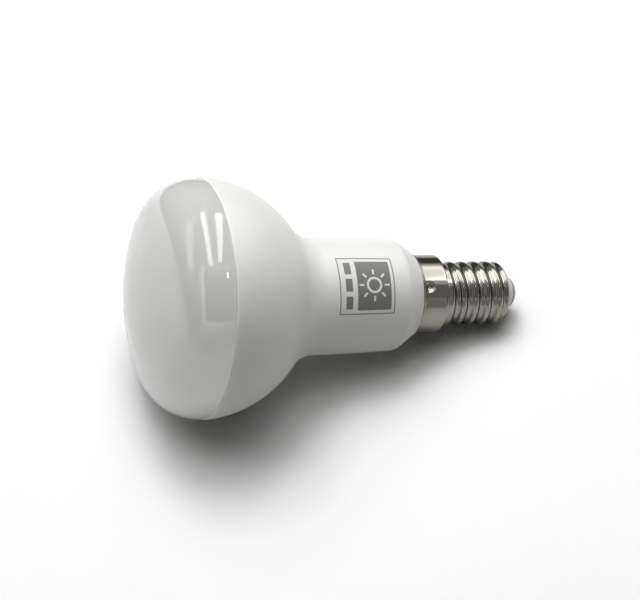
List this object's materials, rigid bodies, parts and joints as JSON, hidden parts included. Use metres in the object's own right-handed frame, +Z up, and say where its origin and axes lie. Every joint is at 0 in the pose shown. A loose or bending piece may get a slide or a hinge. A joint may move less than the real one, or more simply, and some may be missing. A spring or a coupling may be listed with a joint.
{
  "type": "reflector bulb",
  "caption": "LED reflector lamp with an opal domed face, a white bowl-and-neck housing and a small Edison screw cap, lying on its rim and thread.",
  "frame": {"origin": "centre of the lying lamp's box, on the plane it rests on", "axes": "+X runs level along the lamp from its domed face to its cap, +Z is up from the surface it lies on, and the lamp's own axis drops 15.7 degrees below +X towards the cap"},
  "size_m": [0.085, 0.05, 0.0492],
  "materials": {
    "diffuser": "polished opal polycarbonate",
    "housing": "fine satin moulded white thermoplastic",
    "heat_sink": "pressed, dull",
    "led_board": "white solder mask on aluminium",
    "leds": "yellow phosphor windows",
    "screws": "zinc plated",
    "white_terminal": "moulded nylon",
    "circuit_board": "green solder mask",
    "can": "printed sleeve",
    "ferrite": "sintered",
    "copper": "enamelled copper wire",
    "film": "epoxy dipped",
    "disc": "epoxy dipped",
    "resistor": "cement coated",
    "chip": "moulded epoxy",
    "red_wire": "silicone insulation",
    "black_wire": "silicone insulation",
    "white_wire": "silicone insulation",
    "nickel": "bright nickel plating on brass",
    "insulator": "moulded nylon",
    "contact": "nickel plated"
  },
  "bodies": {
    "root": {"diffuser": "diffuser", "housing": "housing", "heat_sink_cup": "heat_sink", "led_board": "led_board", "led_chips": "leds", "board_screws": "screws", "led_terminal": "white_terminal", "driver_board": "circuit_board", "smoothing_capacitor": "can", "inductor_core": "ferrite", "inductor_winding": "copper", "input_capacitor": "film", "varistor": "disc", "fuse_resistor": "resistor", "bridge_rectifier": "chip", "driver_chip": "chip", "chip_resistors": "chip", "led_lead_positive": "red_wire", "led_lead_negative": "black_wire", "live_lead": "red_wire", "neutral_lead": "white_wire", "cap_shell": "nickel", "cap_insulator": "insulator", "end_contact": "contact"}
  },
  "joints": []
}
